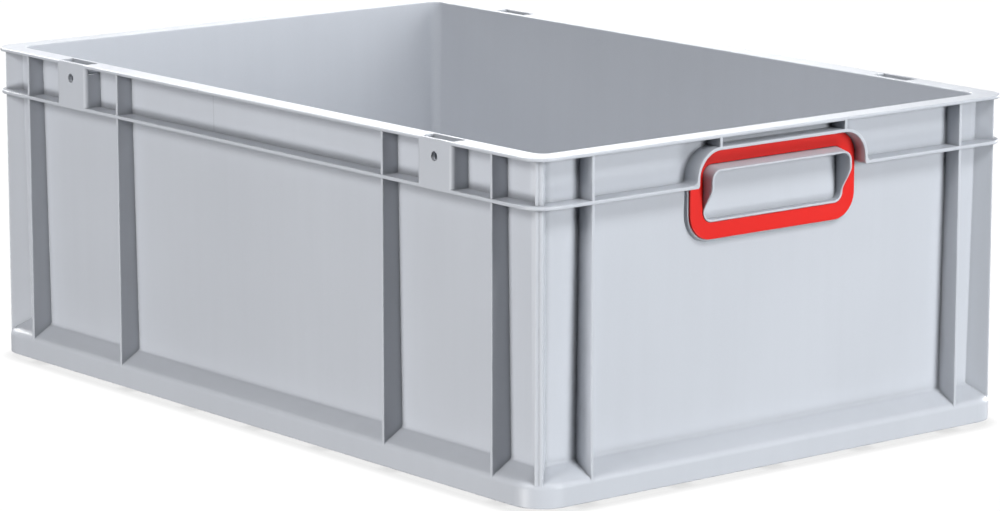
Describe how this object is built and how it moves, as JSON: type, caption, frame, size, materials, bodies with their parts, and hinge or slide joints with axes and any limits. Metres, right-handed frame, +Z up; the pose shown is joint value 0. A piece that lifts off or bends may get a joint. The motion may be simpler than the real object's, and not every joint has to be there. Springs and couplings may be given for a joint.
{
  "type": "stacking crate",
  "caption": "Open-topped stacking crate for the 600 x 400 mm pallet grid, with ribbed walls, closed grips and clip-on colour frames.",
  "frame": {"origin": "centre of the face that the crate stands on", "axes": "+X along the long side, towards the right-hand grip; +Y across the crate; +Z up"},
  "size_m": [0.6, 0.4, 0.22],
  "materials": {
    "body": "fine satin moulded",
    "colour_frame": "satin moulded"
  },
  "bodies": {
    "crate": {"crate_body": "body"},
    "left_frame": {"left_colour_frame": "colour_frame"},
    "right_frame": {"right_colour_frame": "colour_frame"}
  },
  "joints": [
    {"name": "left_frame_pull", "type": "slide", "parent": "crate", "child": "left_frame", "axis": [-1, 0, 0], "range_m": [0, 0.025]},
    {"name": "right_frame_pull", "type": "slide", "parent": "crate", "child": "right_frame", "axis": [1, 0, 0], "range_m": [0, 0.025]}
  ]
}
